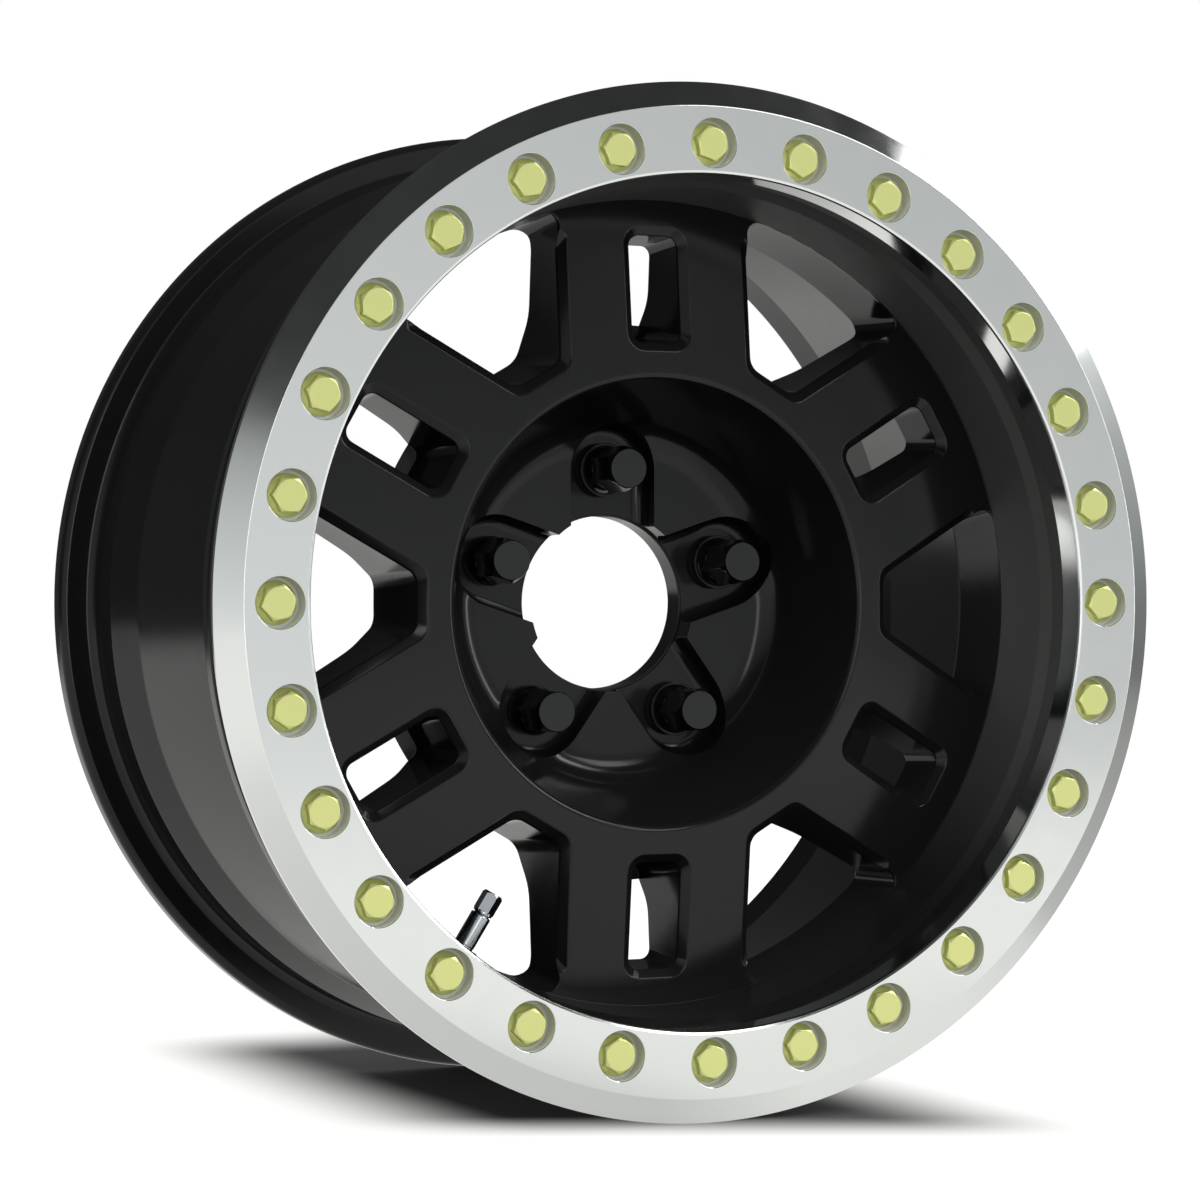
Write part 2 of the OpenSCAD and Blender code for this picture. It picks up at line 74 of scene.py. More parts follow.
bl_info = {
    "name": "Beadlock Wheel",
    "version": (1, 0, 0),
    "blender": (4, 5, 0),
    "location": "3D View > Sidebar > Wheel",
    "description": "Models a bolted-ring off-road wheel over its fixed frame",
    "category": "Object",
}

# Lengths in this file are millimetres, in a turning frame: the wheel axis is Z, the front is +Z, X is
# right and Y is up. Depths (h) are measured back from the ring face, and z(h) is the height of one.
MM = 0.001
RING_LOW, RING_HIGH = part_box("beadlock_ring")
FACE = -RING_LOW[1] / MM
RIM_R = RING_HIGH[0] / MM
FLOOR_Z = CAD_BOX[0][2]
SEAT = Vector((-93.507, -161.960, 45.6))
TILT = 7.5
BOLTS = 28
BOLT_R = 207.5
LUGS = 5
LUG_R = 63.5
SPOKES = 6
SPOKE_SLOPE = 5.9
DISH_EDGE_R = 104.8
DISH_EDGE_H = 54.6
WALL_R = 187.9
WINDOW_INNER = 116.5
BORDER_OUTER = 178.5
SLOT_INNER = 117
SLOT_OUTER = 175.2
LIP_R = 193.4


class WheelSizes(bpy.types.PropertyGroup):
    edge: FloatProperty(
        name="Edge radius", description="Radius of the cast edges around the openings",
        default=1.3 * MM, unit="LENGTH")
    ledge: FloatProperty(
        name="Border depth", description="Depth of the sloped border around the openings",
        default=3.4 * MM, unit="LENGTH")
    border: FloatProperty(
        name="Border width", description="Width of the sloped border around the openings",
        default=4.0 * MM, unit="LENGTH")
    spoke: FloatProperty(
        name="Spoke width", description="Width of a spoke between two windows",
        default=90.4 * MM, unit="LENGTH")
    slot: FloatProperty(
        name="Slot width", description="Width of a spoke slot", default=32.8 * MM, unit="LENGTH")
    steps: IntProperty(name="Steps", description="Facets around the wheel", default=252)


class WheelColours(bpy.types.PropertyGroup):
    paint: StringProperty(name="Paint", description="Casting paint, sRGB hex", default="#171717")
    # The Wall colour is painted light: a lighter tone for the painted reflection on the inner wall.
    wall: StringProperty(name="Wall", description="Inner wall's thin coat, sRGB hex", default="#4C4C4B")
    ring: StringProperty(name="Ring", description="Machined aluminium, sRGB hex", default="#DADCDA")
    zinc: StringProperty(name="Zinc", description="Yellow zinc plating, sRGB hex", default="#DDE192")
    nuts: StringProperty(name="Nuts", description="Black plated nuts, sRGB hex", default="#0B0B0C")
    valve: StringProperty(name="Valve", description="Bright valve metal, sRGB hex", default="#B9BDC0")
    rubber: StringProperty(name="Rubber", description="Seal rubber, sRGB hex", default="#101010")
    brass: StringProperty(name="Brass", description="Valve core brass, sRGB hex", default="#B8924A")
    steel: StringProperty(name="Steel", description="Plain steel, sRGB hex", default="#8E9092")
    plastic: StringProperty(name="Plastic", description="Core ring plastic, sRGB hex", default="#A3261B")
    # This grey shows only inside the painted shadow below the wheel; elsewhere the floor shows white.
    floor: StringProperty(name="Floor", description="Studio floor, sRGB hex", default="#484848")


def z(h):
    return FACE - h


def cos(a):
    return math.cos(math.radians(a))


def sin(a):
    return math.sin(math.radians(a))


def tan(a):
    return math.tan(math.radians(a))


def linear(code):
    """sRGB hex to the linear colour that a shader takes."""
    parts = [int(code[i:i + 2], 16) / 255 for i in (1, 3, 5)]
    return [c / 12.92 if c <= 0.04045 else ((c + 0.055) / 1.055) ** 2.4 for c in parts] + [1.0]


# Outlines and profiles

def rounded(points, steps=5, chord=1e9):
    """Closed outline from (x, y, corner radius) points, with each corner as an arc of about that chord."""
    out = []
    for i, (x, y, r) in enumerate(points):
        b = Vector((x, y))
        if r == 0:
            out.append((x, y))
            continue
        u = (Vector(points[i - 1][:2]) - b).normalized()
        w = (Vector(points[(i + 1) % len(points)][:2]) - b).normalized()
        half = u.angle(w) / 2
        middle = b + (u + w).normalized() * (r / math.sin(half))
        start = b + u * (r / math.tan(half)) - middle
        end = b + w * (r / math.tan(half)) - middle
        turn = start.angle_signed(end)
        count = max(steps, int(r * abs(turn) / chord))
        for k in range(count + 1):
            p = middle + Matrix.Rotation(-turn * k / count, 2) @ start
            out.append((p.x, p.y))
    return out


def face_h(r):
    """Depth of the conical spoke face at radius r."""
    return DISH_EDGE_H + (r - DISH_EDGE_R) * tan(SPOKE_SLOPE)


def window_outline(side, inner, outer, corner, end_round):
    """Window outline about its own centre line on +X: two sides along the spokes and an arc."""
    y0 = (inner / 2 - side) / cos(30)
    a = 30 - math.degrees(math.asin(side / outer))
    arc = [0.74, 0.5, 0.25, 0, -0.25, -0.5, -0.74]
    points = [(inner, y0, corner), (inner, -y0, corner), (outer * cos(a), -outer * sin(a), end_round)]
    points += [(outer * cos(a * f), -outer * sin(a * f), 0) for f in arc]
    return rounded(points + [(outer * cos(a), outer * sin(a), end_round)])


def slot_outline(width, inset, corner):
    """Spoke slot on +X, drawn in by the inset on every side."""
    half = width / 2 - inset
    low, high = SLOT_INNER + inset, SLOT_OUTER - inset
    corners = [(low, half), (low, -half), (high, -half), (high, half)]
    return rounded([(x, y, corner) for x, y in corners], 6)


# Modelling steps

def deselect():
    if bpy.context.mode != "OBJECT":
        bpy.ops.object.mode_set(mode="OBJECT")
    bpy.ops.object.select_all(action="DESELECT")


def pick(*objects):
    """Only these objects are selected, and the last one is active."""
    deselect()
    for o in objects:
        o.select_set(True)
    bpy.context.view_layer.objects.active = objects[-1]
    return objects[-1]


def edit(obj):
    """Edit mode with the whole mesh selected."""
    pick(obj)
    bpy.ops.object.mode_set(mode="EDIT")
    bpy.ops.mesh.select_mode(type="VERT")
    bpy.ops.mesh.select_all(action="SELECT")


def new_mesh(name):
    """A plane drawn together to one vertex at the origin, ready to be extruded."""
    deselect()
    bpy.ops.mesh.primitive_plane_add(size=1 * MM, location=(0, 0, 0))
    obj = bpy.context.object
    obj.name = obj.data.name = name
    edit(obj)
    bpy.ops.mesh.merge(type="CENTER")
    return obj


def trace(points, closed=True):
    """In edit mode, from one selected vertex: extrudes it along the points, in mm, and closes the loop."""
    here = Vector((0, 0, 0))
    for i, p in enumerate(points):
        step = Vector(p) * MM - here
        here = Vector(p) * MM
        if i == 0:
            bpy.ops.transform.translate(value=step)
        else:
            bpy.ops.mesh.extrude_vertices_move(TRANSFORM_OT_translate={"value": step})
    if closed:
        bpy.ops.mesh.select_linked()
        obj = bpy.context.edit_object
        obj.update_from_editmode()
        last = len(obj.data.vertices) - 1
        first = last - len(points) + 1
        select_vertices(obj, {first, last})
        bpy.ops.mesh.edge_face_add()


def select_vertices(obj, wanted):
    bpy.ops.mesh.select_all(action="DESELECT")
    bpy.ops.object.mode_set(mode="OBJECT")
    for v in obj.data.vertices:
        v.select = v.index in wanted
    bpy.ops.object.mode_set(mode="EDIT")


def turned(name, profile, steps, closed=False):
    """Solid turned about Z from (radius, height) points. An open profile starts and ends on the axis."""
    obj = new_mesh(name)
    trace([(r, 0, h) for r, h in profile], closed)
    bpy.ops.mesh.select_all(action="SELECT")
    bpy.ops.mesh.spin(steps=steps, angle=2 * math.pi, center=(0, 0, 0), axis=(0, 0, 1))
    return close_up(obj)


def lathe(name, profile, steps):
    """Solid of revolution from a closed profile of (radius, depth, corner radius) points."""
    outline = rounded([(r, z(h), c) for r, h, c in profile], 4, 3)
    return turned(name, outline, steps, closed=True)


def close_up(obj):
    bpy.ops.mesh.select_all(action="SELECT")
    bpy.ops.mesh.remove_doubles(threshold=0.002 * MM)
    bpy.ops.mesh.normals_make_consistent(inside=False)
    bpy.ops.object.mode_set(mode="OBJECT")
    return obj


def loft(name, loops):
    """Closed solid through loops of equally many (x, y, z) points."""
    obj = None
    for i, loop in enumerate(loops):
        part = new_mesh(f"{name}_{i}")
        trace(loop)
        bpy.ops.object.mode_set(mode="OBJECT")
        obj = part if obj is None else join(part, obj)
    n = len(loops[0])
    edit(obj)
    for i in range(len(loops) - 1):
        select_vertices(obj, set(range(i * n, (i + 2) * n)))
        bpy.ops.mesh.bridge_edge_loops()
    for i in (0, len(loops) - 1):
        select_vertices(obj, set(range(i * n, (i + 1) * n)))
        bpy.ops.mesh.edge_face_add()
    obj.name = obj.data.name = name
    return close_up(obj)


def join(*objects):
    pick(*objects)
    bpy.ops.object.join()
    return bpy.context.object


def copy_of(obj, matrix):
    """A copy with its own mesh, with the matrix, in mm, applied to its vertices."""
    pick(obj)
    bpy.ops.object.duplicate(linked=False)
    new = bpy.context.object
    place(new, matrix)
    return new


def place(obj, matrix):
    m = matrix.copy()
    m.translation = m.translation * MM
    obj.matrix_world = m
    pick(obj)
    bpy.ops.object.transform_apply(location=True, rotation=True, scale=True)


def around(obj, count, start=0.0, radius=0.0, height=0.0):
    """Copies of obj around the wheel axis, at a radius and height in mm. The first is obj itself."""
    spots = [
        Matrix.Rotation(math.radians(start + 360 * i / count), 4, "Z")
        @ Matrix.Translation((radius, 0, height)) for i in range(count)
    ]
    copies = [copy_of(obj, m) for m in spots[1:]]
    place(obj, spots[0])
    return [obj] + copies


def cut(obj, cutter, operation="DIFFERENCE"):
    pick(obj)
    tool = obj.modifiers.new("cut", "BOOLEAN")
    tool.operation = operation
    tool.solver = "EXACT"
    tool.object = cutter
    bpy.ops.object.modifier_apply(modifier=tool.name)
    bpy.data.objects.remove(cutter)
    return obj


def valve_frame():
    """Seat frame of the valve: Z points along the stem towards the wheel axis."""
    return (Matrix.Translation(SEAT) @ Matrix.Rotation(math.radians(240), 4, "Z")
            @ Matrix.Rotation(math.radians(TILT - 90), 4, "Y"))


def finish_piece(obj, name, material, body, slot, *nodes, angle=30):
    """Turns a piece from the turning frame into the wheel's frame, and gives it its finish and body."""
    pick(obj)
    obj.matrix_world = Matrix.Rotation(math.radians(90), 4, "X")
    bpy.ops.object.transform_apply(location=True, rotation=True, scale=True)
    bpy.ops.object.shade_smooth_by_angle(angle=math.radians(angle))
    even = obj.modifiers.new("even_normals", "WEIGHTED_NORMAL")
    even.keep_sharp = True
    even.weight = 60
    bpy.ops.object.modifier_apply(modifier=even.name)
    obj.name = obj.data.name = name
    obj.data.materials.clear()
    obj.data.materials.append(material)
    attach(obj, body)
    if nodes:
        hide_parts(*nodes)
    return obj


# Materials

def node(tree, kind, settings=None, links=None, **values):
    """Adds a node, with attributes in settings, input values by name and links to its inputs."""
    new = tree.nodes.new(kind)
    for key, value in (settings or {}).items():
        setattr(new, key, value)
    for key, value in values.items():
        new.inputs[key.replace("_", " ")].default_value = value
    for key, source in (links or {}).items():
        tree.links.new(source, new.inputs[key])
    return new


def material(name, code, **values):
    """A principled material with the given socket values."""
    mat = bpy.data.materials.new(name)
    mat.use_nodes = True
    shader = mat.node_tree.nodes["Principled BSDF"]
    shader.inputs["Base Color"].default_value = linear(code)
    for key, value in values.items():
        shader.inputs[key.replace("_", " ")].default_value = value
    return mat, mat.node_tree, shader


def math_node(tree, operation, first, second):
    """A math node of two sources, each an output or a number."""
    new = node(tree, "ShaderNodeMath", {"operation": operation})
    for socket, source in zip(new.inputs, (first, second)):
        if isinstance(source, bpy.types.NodeSocket):
            tree.links.new(source, socket)
        else:
            socket.default_value = source
    return new.outputs["Value"]


def object_spot(tree):
    return node(tree, "ShaderNodeTexCoord").outputs["Object"]


def speckle(tree, size_mm, low, high, detail=2.0):
    """Noise of that grain on the object's own coordinates, mapped from low to high."""
    noise = node(tree, "ShaderNodeTexNoise", links={"Vector": object_spot(tree)},
                 Scale=1 / (size_mm * MM), Detail=detail)
    return node(tree, "ShaderNodeMapRange", links={"Value": noise.outputs["Fac"]},
                From_Min=0.3, From_Max=0.7, To_Min=low, To_Max=high).outputs["Result"]


def bumped(tree, shader, height, distance_mm, strength=1.0, edge_mm=0.0):
    """Puts a height on the normal, over softened edges where edge_mm is set."""
    bump = node(tree, "ShaderNodeBump", links={"Height": height},
                Strength=strength, Distance=distance_mm * MM)
    if edge_mm:
        soft = node(tree, "ShaderNodeBevel", {"samples": 6}, Radius=edge_mm * MM)
        tree.links.new(soft.outputs["Normal"], bump.inputs["Normal"])
    tree.links.new(bump.outputs["Normal"], shader.inputs["Normal"])


def rise(tree, source, low, high):
    """0 below low and 1 above high, both in metres, with a smooth step between."""
    return node(tree, "ShaderNodeMapRange", {"interpolation_type": "SMOOTHSTEP"}, {"Value": source},
                From_Min=low, From_Max=high).outputs["Result"]


def inverse(tree, source):
    return math_node(tree, "SUBTRACT", 1.0, source)


def product(tree, first, second):
    return math_node(tree, "MULTIPLY", first, second)


def radius_of(tree, spot):
    """Distance from the wheel axis, in metres, from separated object coordinates."""
    squares = [math_node(tree, "POWER", spot.outputs[axis], 2.0) for axis in "XZ"]
    return math_node(tree, "SQRT", math_node(tree, "ADD", *squares), 0.0)


def paint_material():
    """Satin black powder coat on cast aluminium, baked on: deep black with a soft sheen and orange peel."""
    colours = bpy.context.scene.wheel_colours
    mat, tree, shader = material("satin_black_powder_coat", colours.paint, Roughness=0.15, IOR=1.34)
    # The turned wall between the spokes and the ring, except in its lowest part, is painted a lighter and
    # duller colour: a painted reflection, a lighter tone that stands in for the light this wall mirrors.
    spot = node(tree, "ShaderNodeSeparateXYZ", links={"Vector": object_spot(tree)})
    radius = radius_of(tree, spot)
    wall = product(tree, rise(tree, radius, 0.18795, 0.1881),
                   inverse(tree, rise(tree, radius, 0.1945, 0.1946)))
    front = inverse(tree, rise(tree, spot.outputs["Y"], -0.0596, -0.0592))
    painted_reflection = product(tree, wall, product(tree, front, rise(tree, spot.outputs["Z"], -0.15, -0.03)))
    coat = node(tree, "ShaderNodeMix", {"data_type": "RGBA"}, {"Factor": painted_reflection})
    coat.inputs[6].default_value = linear(colours.paint)
    coat.inputs[7].default_value = linear(colours.wall)
    tree.links.new(coat.outputs[2], shader.inputs["Base Color"])
    gloss = speckle(tree, 9, 0.13, 0.17)
    tree.links.new(math_node(tree, "ADD", gloss, product(tree, painted_reflection, 0.45)), shader.inputs["Roughness"])
    bumped(tree, shader, speckle(tree, 1.6, 0, 1), 0.001, strength=0.3, edge_mm=0.6)
    return mat


def ring_material():
    """Lathe-turned aluminium under clear coat: bright, with faint rings of the turning tool."""
    mat, tree, shader = material("turned_clear_coated_aluminium", bpy.context.scene.wheel_colours.ring,
                                 Metallic=1.0, Roughness=0.13)
    # Tool marks are 0.1 mm apart on the real face; drawn at 0.8 mm so that they can show.
    marks = node(tree, "ShaderNodeTexWave", {"wave_type": "RINGS", "rings_direction": "Y"},
                 {"Vector": object_spot(tree)}, Scale=1 / (0.8 * MM) / 20, Distortion=0.4, Detail=1.0)
    # The counterbores are only bored, not polished, so their walls are paler and duller than the face.
    spot = node(tree, "ShaderNodeSeparateXYZ", links={"Vector": object_spot(tree)})
    across = math_node(tree, "SUBTRACT", radius_of(tree, spot), BOLT_R * MM)
    near_bolts = inverse(tree, rise(tree, math_node(tree, "ABSOLUTE", across, 0.0), 0.0118, 0.0122))
    bored = product(tree, rise(tree, spot.outputs["Y"], -0.1219, -0.1215), near_bolts)
    polish = speckle(tree, 14, 0.11, 0.15)
    tree.links.new(math_node(tree, "ADD", polish, product(tree, bored, 0.3)), shader.inputs["Roughness"])
    tree.links.new(inverse(tree, product(tree, bored, 0.75)), shader.inputs["Metallic"])
    bumped(tree, shader, marks.outputs["Fac"], 0.001)
    return mat


def zinc_material():
    """Yellow zinc plating with chromate on steel: a fine greenish yellow film over bright metal."""
    mat, tree, shader = material("yellow_zinc_plated_steel", bpy.context.scene.wheel_colours.zinc,
                                 Metallic=0.5, Roughness=0.2)
    tree.links.new(speckle(tree, 3, 0.18, 0.22), shader.inputs["Roughness"])
    bumped(tree, shader, speckle(tree, 0.9, 0, 1), 0.001, strength=0.4, edge_mm=0.35)
    return mat


def nut_material():
    """Gloss black plated steel wheel nuts: darker and glossier than the casting."""
    mat, tree, shader = material("black_plated_steel", bpy.context.scene.wheel_colours.nuts,
                                 Roughness=0.14, IOR=1.46)
    tree.links.new(speckle(tree, 4, 0.12, 0.16), shader.inputs["Roughness"])
    bumped(tree, shader, speckle(tree, 1.2, 0, 1), 0.001, strength=0.4, edge_mm=0.3)
    return mat


def valve_material():
    """Nickel plated turned metal: bright and smooth, with fine turning marks along the stem."""
    mat, tree, shader = material("nickel_plated_metal", bpy.context.scene.wheel_colours.valve,
                                 Metallic=1.0, Roughness=0.18)
    tree.links.new(speckle(tree, 1.5, 0.14, 0.24), shader.inputs["Roughness"])
    bumped(tree, shader, speckle(tree, 0.5, 0, 1), 0.003, edge_mm=0.15)
    return mat


def rubber_material():
    """Moulded rubber seal: matt black with a faint grain."""
    mat, tree, shader = material("moulded_seal_rubber", bpy.context.scene.wheel_colours.rubber,
                                 Roughness=0.75)
    bumped(tree, shader, speckle(tree, 0.4, 0, 1), 0.02)
    return mat


def brass_material():
    """Turned brass of the valve core: warm bright metal, dulled a little by handling."""
    mat, tree, shader = material("turned_brass", bpy.context.scene.wheel_colours.brass,
                                 Metallic=1.0, Roughness=0.3)
    tree.links.new(speckle(tree, 0.8, 0.24, 0.38), shader.inputs["Roughness"])
    bumped(tree, shader, speckle(tree, 0.3, 0, 1), 0.003)
    return mat


def steel_material():
    """Plain machined steel of the inserts and the core spring: grey metal with an oil-dark grain."""
    mat, tree, shader = material("plain_machined_steel", bpy.context.scene.wheel_colours.steel,
                                 Metallic=1.0, Roughness=0.35)
    tree.links.new(speckle(tree, 1.0, 0.28, 0.45), shader.inputs["Roughness"])
    bumped(tree, shader, speckle(tree, 0.4, 0, 1), 0.004)
    return mat


def plastic_material():
    """Moulded nylon sealing ring of the valve core: plain red with a low sheen."""
    mat, tree, shader = material("moulded_red_nylon", bpy.context.scene.wheel_colours.plastic,
                                 Roughness=0.45)
    bumped(tree, shader, speckle(tree, 0.5, 0, 1), 0.004)
    return mat


MAKERS = {
    "paint": paint_material, "ring": ring_material, "zinc": zinc_material, "nuts": nut_material,
    "valve": valve_material, "rubber": rubber_material, "brass": brass_material,
    "steel": steel_material, "plastic": plastic_material,
}
MADE = {}


def finish_of(kind):
    """The material of that kind, made once."""
    if kind not in MADE:
        MADE[kind] = MAKERS[kind]()
    return MADE[kind]


# The cast wheel

def casting_profile():
    """Section of the casting as (radius, depth, corner radius) points, all the way round."""
    return [
        # Hub, dish, spoke face and the wall beside the ring
        (42.5, 108, 0.6), (82.9, 108, 17), (DISH_EDGE_R, DISH_EDGE_H, 3.2), (188, face_h(188), 0),
        (190.8, 31.5, 2), (194.2, 25.5, 1),
        # Seat of the ring and the inner flange of the tyre bead
        (194.2, 15.05, 0.3), (218.2, 15.05, 0.4), (218.2, 34, 3), (228.5, 34, 1.5), (228.5, 42, 1.5),
        (220.3, 44.5, 4),
        # Tyre well, rear bead seat and rear flange
        (198, 59, 6), (198, 96, 6), (203, 111, 8), (212.5, 183, 8), (219.7, 203.5, 2), (217.3, 209, 3),
        (218.8, 231.4, 5), (235.7, 231.4, 4), (235.7, 244, 2.6),
        # Barrel from inside, back of the spokes and mounting pad
        (214.3, 244, 2), (210.3, 236, 4), (211.4, 212.3, 0.3), (209.4, 209.8, 0.3), (197.6, 119, 10),
        (187.5, 98, 10), (176, 88, 12), (143, 89.6, 20), (121, 105, 15), (104, 120.5, 15),
        (88, 134.5, 4), (41.5, 134.5, 1.2), (41.5, 121.7, 0), (42.5, 121.7, 0),
    ]


def edge_steps(radius):
    """(outward step, depth) pairs of a rounded edge, from just above the face down to the wall."""
    low = 20
    first = radius * (1 - sin(low)), radius * (1 - cos(low))
    steps = [(first[0] + 0.9 * cos(low), first[1] - 0.9 * sin(low)), first]
    steps += [(radius * (1 - sin(a)), radius * (1 - cos(a))) for a in (40, 65)]
    return steps + [(0, radius)]


def border_steps(sizes):
    """(inset, depth) pairs across the sloped border: soft outer edge, slope and rounded inner edge."""
    edge, border, step = sizes.edge / MM, sizes.border / MM, sizes.ledge / MM
    lean = math.degrees(math.atan(step / border))
    steps = [(1.5 * (sin(a) - tan(lean / 2)), 1.5 * (1 - cos(a))) for a in (lean / 3, lean / 1.5, lean)]
    steps.insert(0, (steps[0][0] - 1.2 * cos(lean / 3), steps[0][1] - 1.2 * sin(lean / 3)))
    back = edge * tan((84 - lean) / 2)
    x, d = border - back * cos(lean), step - back * sin(lean)
    return steps + [(x + edge * (sin(a) - sin(lean)), d + edge * (cos(lean) - cos(a)))
                    for a in (lean, lean + 14, lean + 28, 84)]


def on_face(outline, depth):
    """Outline points at a depth below the conical spoke face."""
    return [(x, y, z(face_h(math.hypot(x, y)) + depth)) for x, y in outline]


def window_tools(sizes):
    """The through-cut of a window and the sloped border that is sunk around its spoke sides."""
    edge, border, step = sizes.edge / MM, sizes.border / MM, sizes.ledge / MM
    half = sizes.spoke / MM / 2

    def outline(inset, outer, end_round):
        return window_outline(half + inset, WINDOW_INNER + inset, outer, 8, end_round)

    loops = [on_face(outline(border - out, WALL_R, 5.5), d) for out, d in edge_steps(edge)]
    for depth in (12, 26, 40, 52):
        inset = border + (depth - step) * tan(6)
        outer = WALL_R - max(0, depth - 3) * tan(TILT)
        loops.append(on_face(outline(inset, outer, 5.5), depth))
    through = loft("window_through", [on_face_top(loops[0], 6)] + loops)
    steps = border_steps(sizes)
    inset, low = steps[-1]
    steps.append((inset + 2, low + 2))
    sunk = [on_face(outline(x, BORDER_OUTER - x, 3.5), d) for x, d in steps]
    slope = loft("window_border", [on_face_top(sunk[0], 6)] + sunk)
    return through, slope


def on_face_top(loop, lift):
    """The loop lifted straight up, as the top of a cutting tool."""
    return [(x, y, h + lift) for x, y, h in loop]


def slot_tool(sizes):
    """The through-cut of a spoke slot, with the sloped border that runs all around it."""
    steps = border_steps(sizes)
    inset, low = steps[-1]
    steps += [(inset + (depth - low) * tan(6), depth) for depth in (14, 26, 40)]
    width = sizes.slot / MM
    loops = [on_face(slot_outline(width, x, max(8.5 - 0.8 * x, 5)), d) for x, d in steps]
    return loft("slot_through", [on_face_top(loops[0], 6)] + loops)


def pocket_outline(inset):
    """Round-ended pocket about its nut on +X, open at the bore."""
    r = 21.9 - inset
    end = [(LUG_R + r * cos(a), r * sin(a)) for a in range(90, -91, -9)]
    return [(30, r)] + end + [(30, -r)]


def pocket_tool():
    loops = [[(x, y, z(60)) for x, y in pocket_outline(0)]]
    for a in (0, 22, 45, 67, 90):
        loops.append([(x, y, z(115.5 + 5.5 * sin(a))) for x, y in pocket_outline(5.5 * (1 - cos(a)))])
    return loft("pocket", loops)


def round_hole(name, steps, profile):
    """A turned cutting tool for a stepped hole, from (radius, depth) pairs."""
    shape = [(0, z(profile[0][1]))] + [(r, z(h)) for r, h in profile] + [(0, z(profile[-1][1]))]
    return turned(name, shape, steps)


class WHEEL_OT_casting(bpy.types.Operator):
    """Model the one-piece cast wheel with its windows, slots, hub pockets and holes"""
    bl_idname = "wheel.casting"
    bl_label = "Cast Wheel"

    def execute(self, context):
        sizes = context.scene.wheel_sizes
        casting = lathe("casting", casting_profile(), sizes.steps)
        through, border = window_tools(sizes)
        for tool, start in ((through, 0), (border, 0), (slot_tool(sizes), 30)):
            cut(casting, join(*around(tool, SPOKES, start)))
        for pocket in around(pocket_tool(), LUGS, 90):
            cut(casting, pocket)
        lug_hole = round_hole("lug_hole", 48, [(13, 116), (10.48, 121), (8, 125.3), (8, 140)])
        cut(casting, join(*around(lug_hole, LUGS, 90, LUG_R)))
        bolt_hole = round_hole("bolt_hole", 20, [(6.2, 10), (6.2, 33.5)])
        cut(casting, join(*around(bolt_hole, BOLTS, 0, BOLT_R)))
        valve_hole = turned("valve_hole", [(0, 14), (9.5, 14), (9.5, 0), (5.75, 0), (5.75, -8), (10, -8),
                                           (10, -22), (0, -22)], 48)
        place(valve_hole, valve_frame())
        cut(casting, valve_hole)
        finish_piece(casting, "cast_wheel", finish_of("paint"), "wheel", "black_casting", "wheel_casting")
        return {"FINISHED"}


# The clamp ring and its bolts

def ring_profile():
    return [
        (LIP_R, 1.3, 0.2), (LIP_R + 0.5, 0.4, 0.1), (LIP_R + 1.5, 0, 0.2),
        (RIM_R - 11.6, 0, 0.9), (RIM_R, 7.4, 0.5), (RIM_R, 10, 0.6),
        (218.2, 10, 1.5), (218.2, 15, 0.3), (LIP_R, 15, 0.3),
    ]


class WHEEL_OT_ring(bpy.types.Operator):
    """Model the turned clamp ring with its chamfer and counterbored bolt holes"""
    bl_idname = "wheel.ring"
    bl_label = "Clamp Ring"

    def execute(self, context):
        ring = lathe("ring", ring_profile(), context.scene.wheel_sizes.steps)
        shape = [(12.4, -0.9), (11.62, -0.02), (11.42, 0.12), (11.3, 0.45), (11.3, 7.1), (11.0, 7.5),
                 (5.05, 7.5), (5.05, 16)]
        hole = round_hole("counterbore", 56, shape)
        cut(ring, join(*around(hole, BOLTS, 0, BOLT_R)))
        finish_piece(ring, "clamp_ring", finish_of("ring"), "wheel", "machined_ring", "beadlock_ring")
        return {"FINISHED"}


def hex_prism(name, across, low, high):
    """Hexagonal bar with a vertex on +X, from a circle primitive that is filled and extruded."""
    deselect()
    bpy.ops.mesh.primitive_circle_add(vertices=6, radius=across / 2 / cos(30) * MM, fill_type="NGON",
                                      location=(0, 0, 0), rotation=(0, 0, 0))
    obj = bpy.context.object
    obj.name = name
    spin = math.atan2(obj.data.vertices[0].co.y, obj.data.vertices[0].co.x)
    place(obj, Matrix.Rotation(-spin, 4, "Z") @ Matrix.Translation((0, 0, low)))
    edit(obj)
    bpy.ops.mesh.extrude_region_move(TRANSFORM_OT_translate={"value": (0, 0, (high - low) * MM)})
    return close_up(obj)


class WHEEL_OT_ring_bolts(bpy.types.Operator):
    """Model one flanged hex bolt of the ring and copy it around the bolt circle"""
    bl_idname = "wheel.ring_bolts"
    bl_label = "Ring Bolts"

    def execute(self, context):
        head = hex_prism("head", 14.3, 0.5, 9)
        limit = turned("limit", [(0, 0.4), (12, 0.4), (12, 3.69), (6.8, 6.5), (0, 6.5)], 48)
        cut(head, limit, "INTERSECT")
        shank = [(3.4, -25), (4.7, -23.6), (4.7, -0.3), (4.9, 0)]
        flange = turned("flange", [(0, -25)] + shank + [(9.2, 0), (9.6, 0.35), (9.6, 0.9), (9.3, 1.25),
                                                         (7.9, 2.1), (7.2, 2.8), (0, 2.8)], 56)
        bolt = cut(flange, head, "UNION")
        place(bolt, Matrix.Rotation(math.radians(12.86), 4, "Z"))
        for i, copy in enumerate(around(bolt, BOLTS, 0, BOLT_R, z(7.5))):
            name = f"ring_bolt_{i + 1:02d}"
            finish_piece(copy, name, finish_of("zinc"), "wheel", "yellow_zinc", "ring_bolts", angle=20)
        return {"FINISHED"}


# Wheel nuts

